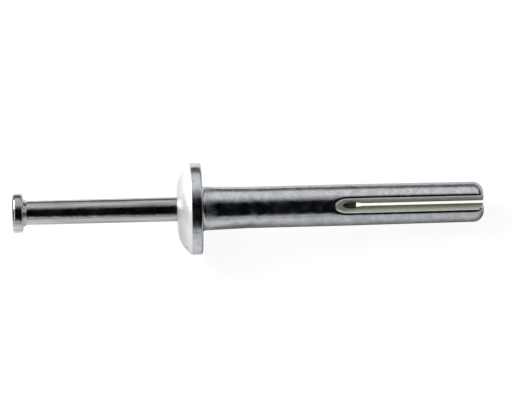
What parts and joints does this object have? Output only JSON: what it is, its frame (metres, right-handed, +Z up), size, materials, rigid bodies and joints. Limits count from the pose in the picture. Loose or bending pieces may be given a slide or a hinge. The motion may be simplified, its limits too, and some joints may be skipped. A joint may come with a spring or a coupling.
{
  "type": "hammer drive anchor",
  "caption": "Die-cast mushroom-head hammer drive anchor with a split shank and a steel drive nail standing part of its way in.",
  "frame": {"origin": "middle of the head's underside, on the anchor's axis, where the shank leaves the head", "axes": "+X towards the tip, level with the ground; +Z up. The anchor lies on its head's rim and its tip, so its axis dips about 5 degrees towards +X."},
  "size_m": [0.067, 0.013, 0.013],
  "materials": {
    "zinc_body": "bright zinc plate over a die-cast zinc alloy, faint cast unevenness",
    "nail_steel": "bright zinc plate over drawn steel wire"
  },
  "bodies": {
    "root": {"anchor_body": "zinc_body", "drive_nail": "nail_steel"}
  },
  "joints": []
}
